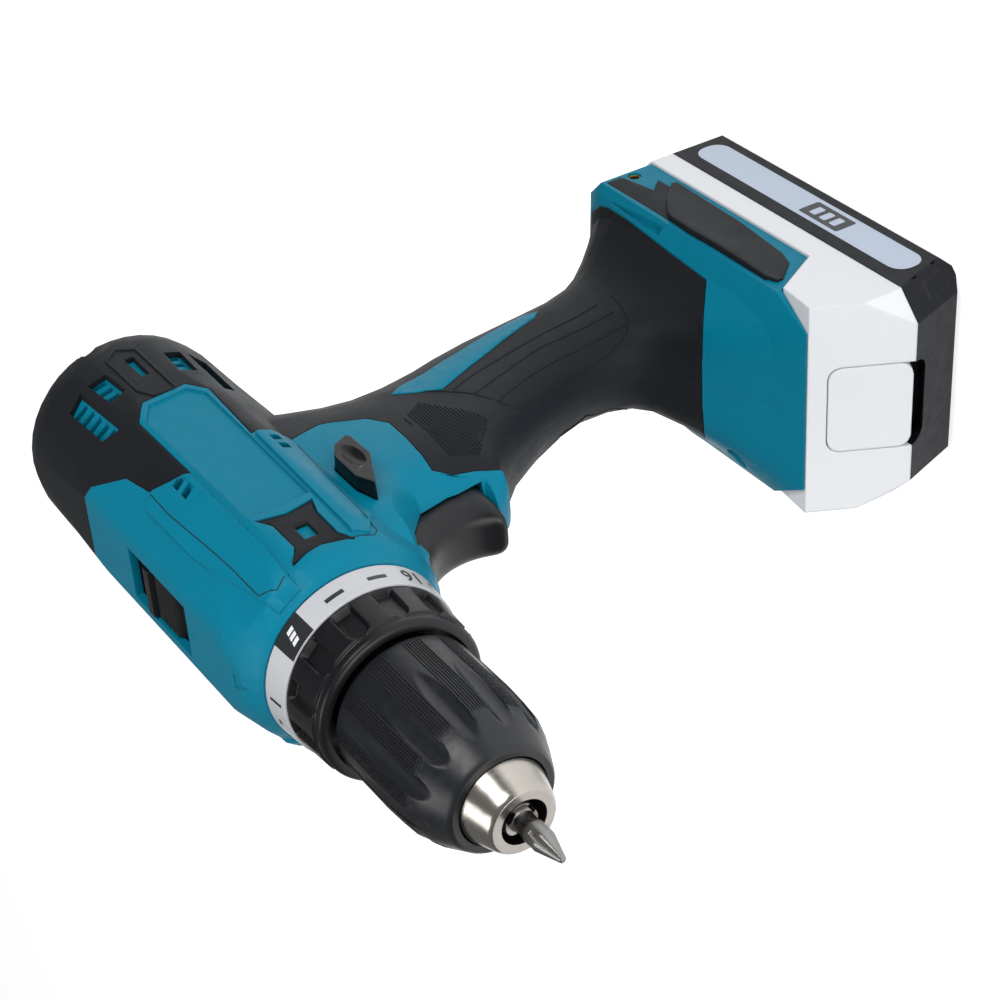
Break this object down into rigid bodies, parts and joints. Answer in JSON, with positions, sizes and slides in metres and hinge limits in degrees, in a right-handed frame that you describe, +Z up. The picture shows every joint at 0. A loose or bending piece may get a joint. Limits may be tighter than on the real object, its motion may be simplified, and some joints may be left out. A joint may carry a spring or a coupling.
{
  "type": "cordless drill",
  "caption": "Pistol-grip cordless drill driver with keyless chuck, clutch ring, two-speed planetary gearbox and slide-on battery pack.",
  "frame": {"origin": "centre of the flat underside of the battery pack, below the grip", "axes": "+Z up from the battery to the barrel, -Y forward along the spindle towards the bit, +X to the tool's left"},
  "size_m": [0.072, 0.2426, 0.2476],
  "materials": {
    "teal_shell": "fine-textured nylon",
    "soft_grip": "textured soft overmould",
    "black_plastic": "satin",
    "chuck_plastic": "satin, moulded",
    "case_plastic": "textured",
    "white_plastic": "satin",
    "scale_plastic": "silver",
    "nylon_frame": "satin",
    "ochre_plastic": "satin",
    "board_green": "solder resist",
    "cell_wrap": "shrink sleeve",
    "steel": "turned",
    "jaw_steel": "ground",
    "bit_steel": "satin nickel",
    "dark_steel": "black oxide",
    "sintered": "sintered",
    "zinc": "passivated",
    "spring_wire": "drawn wire",
    "brass": "plain",
    "copper": "copper",
    "graphite": "pressed carbon",
    "magnet": "ferrite"
  },
  "bodies": {
    "tool": {"housing_left": "teal_shell", "housing_right": "teal_shell", "soft_grip_left": "soft_grip", "soft_grip_right": "soft_grip", "housing_screws": "dark_steel", "side_inserts": "brass", "gear_case": "nylon_frame", "gear_case_plate": "zinc", "ring_gear_1": "sintered", "ring_gear_3": "sintered", "motor_can": "zinc", "magnets": "magnet", "motor_end_cap": "nylon_frame", "motor_bushes": "brass", "brushes": "graphite", "clutch_spring": "spring_wire", "clutch_washer": "steel", "bearing_outer": "steel", "bearing_balls": "bit_steel", "switch_case": "black_plastic", "terminal_block": "ochre_plastic", "terminal_blades": "brass"},
    "output": {"spindle": "steel", "bearing_inner": "steel", "chuck_body": "steel", "chuck_screw": "dark_steel"},
    "sleeve": {"chuck_sleeve": "chuck_plastic", "chuck_nut": "dark_steel"},
    "jaw_a": {"jaw_1": "jaw_steel"},
    "jaw_b": {"jaw_2": "jaw_steel"},
    "jaw_c": {"jaw_3": "jaw_steel"},
    "bit": {"driver_bit": "bit_steel"},
    "mid_stage": {"carrier_1": "steel", "planets_2": "sintered", "carrier_2": "steel"},
    "shift_ring": {"ring_gear_2": "sintered"},
    "rotor": {"rotor_shaft": "steel", "armature": "sintered", "commutator": "copper", "motor_fan": "black_plastic"},
    "first_planet_a": {"planet_1a": "sintered"},
    "first_planet_b": {"planet_1b": "sintered"},
    "first_planet_c": {"planet_1c": "sintered"},
    "third_planet_a": {"planet_3a": "sintered"},
    "third_planet_b": {"planet_3b": "sintered"},
    "third_planet_c": {"planet_3c": "sintered"},
    "clutch": {"clutch_band": "scale_plastic", "clutch_ring": "black_plastic"},
    "trigger": {"trigger": "black_plastic"},
    "reverse_lever": {"reverse_lever": "black_plastic"},
    "speed_selector": {"speed_knob": "black_plastic", "shift_fork": "spring_wire"},
    "battery": {"battery_case": "case_plastic", "battery_cover": "white_plastic", "battery_cells": "cell_wrap", "cell_holder": "black_plastic", "battery_board": "board_green", "battery_contacts": "brass"},
    "release_button": {"release_button": "white_plastic", "release_spring": "spring_wire"}
  },
  "joints": [
    {"name": "spindle_spin", "type": "hinge", "parent": "tool", "child": "output", "pos_m": [0, -0.0665, 0.216], "axis": [0, -1, 0], "continuous": true},
    {"name": "sleeve_turn", "type": "hinge", "parent": "output", "child": "sleeve", "pos_m": [0, -0.1065, 0.216], "axis": [0, -1, 0], "range_deg": [0, 3060]},
    {"name": "jaw_a_slide", "type": "slide", "parent": "output", "child": "jaw_a", "axis": [0.2588, 0.9659, 0], "range_m": [0, 0.01275]},
    {"name": "jaw_b_slide", "type": "slide", "parent": "output", "child": "jaw_b", "axis": [-0.1294, 0.9659, 0.2241], "range_m": [0, 0.01275]},
    {"name": "jaw_c_slide", "type": "slide", "parent": "output", "child": "jaw_c", "axis": [-0.1294, 0.9659, -0.2241], "range_m": [0, 0.01275]},
    {"name": "bit_slide", "type": "slide", "parent": "output", "child": "bit", "axis": [0, -1, 0], "range_m": [0, 0.028]},
    {"name": "mid_spin", "type": "hinge", "parent": "tool", "child": "mid_stage", "pos_m": [0, -0.0385, 0.216], "axis": [0, -1, 0], "continuous": true},
    {"name": "rotor_spin", "type": "hinge", "parent": "tool", "child": "rotor", "pos_m": [0, 0.0135, 0.216], "axis": [0, -1, 0], "continuous": true},
    {"name": "first_planet_a_spin", "type": "hinge", "parent": "mid_stage", "child": "first_planet_a", "pos_m": [0.012, -0.0285, 0.216], "axis": [0, -1, 0], "continuous": true},
    {"name": "first_planet_b_spin", "type": "hinge", "parent": "mid_stage", "child": "first_planet_b", "pos_m": [-0.006, -0.0285, 0.22639], "axis": [0, -1, 0], "continuous": true},
    {"name": "first_planet_c_spin", "type": "hinge", "parent": "mid_stage", "child": "first_planet_c", "pos_m": [-0.006, -0.0285, 0.20561], "axis": [0, -1, 0], "continuous": true},
    {"name": "third_planet_a_spin", "type": "hinge", "parent": "output", "child": "third_planet_a", "pos_m": [0.01215, -0.0565, 0.216], "axis": [0, -1, 0], "continuous": true},
    {"name": "third_planet_b_spin", "type": "hinge", "parent": "output", "child": "third_planet_b", "pos_m": [-0.00607, -0.0565, 0.22652], "axis": [0, -1, 0], "continuous": true},
    {"name": "third_planet_c_spin", "type": "hinge", "parent": "output", "child": "third_planet_c", "pos_m": [-0.00607, -0.0565, 0.20548], "axis": [0, -1, 0], "continuous": true},
    {"name": "clutch_turn", "type": "hinge", "parent": "tool", "child": "clutch", "pos_m": [0, -0.0715, 0.216], "axis": [0, -1, 0], "range_deg": [0, 306]},
    {"name": "trigger_pull", "type": "slide", "parent": "tool", "child": "trigger", "axis": [0, 1, 0], "range_m": [0, 0.007], "stiffness_N_per_m": 900, "springref_m": -0.004},
    {"name": "reverse_slide", "type": "slide", "parent": "tool", "child": "reverse_lever", "axis": [1, 0, 0], "range_m": [-0.0055, 0]},
    {"name": "speed_shift", "type": "slide", "parent": "tool", "child": "speed_selector", "axis": [0, -1, 0], "range_m": [0, 0.006]},
    {"name": "ring_shift", "type": "slide", "parent": "mid_stage", "child": "shift_ring", "axis": [0, -1, 0], "range_m": [0, 0.006]},
    {"name": "battery_slide", "type": "slide", "parent": "tool", "child": "battery", "axis": [0, -1, 0], "range_m": [0, 0.095]},
    {"name": "release_press", "type": "slide", "parent": "battery", "child": "release_button", "axis": [0, 0, -1], "range_m": [0, 0.0035], "stiffness_N_per_m": 1200, "springref_m": -0.002, "deforming": ["release_spring"]}
  ],
  "couplings": [
    {"joint": "jaw_a_slide", "follows": "sleeve_turn", "m_per_rad": 0.00023873},
    {"joint": "jaw_b_slide", "follows": "sleeve_turn", "m_per_rad": 0.00023873},
    {"joint": "jaw_c_slide", "follows": "sleeve_turn", "m_per_rad": 0.00023873},
    {"joint": "mid_spin", "follows": "spindle_spin", "ratio": 3.6},
    {"joint": "rotor_spin", "follows": "spindle_spin", "ratio": 14.4},
    {"joint": "first_planet_a_spin", "follows": "spindle_spin", "ratio": -10.8},
    {"joint": "first_planet_b_spin", "follows": "spindle_spin", "ratio": -10.8},
    {"joint": "first_planet_c_spin", "follows": "spindle_spin", "ratio": -10.8},
    {"joint": "third_planet_a_spin", "follows": "spindle_spin", "ratio": -3.25},
    {"joint": "third_planet_b_spin", "follows": "spindle_spin", "ratio": -3.25},
    {"joint": "third_planet_c_spin", "follows": "spindle_spin", "ratio": -3.25},
    {"joint": "ring_shift", "follows": "speed_shift", "ratio": 1}
  ]
}
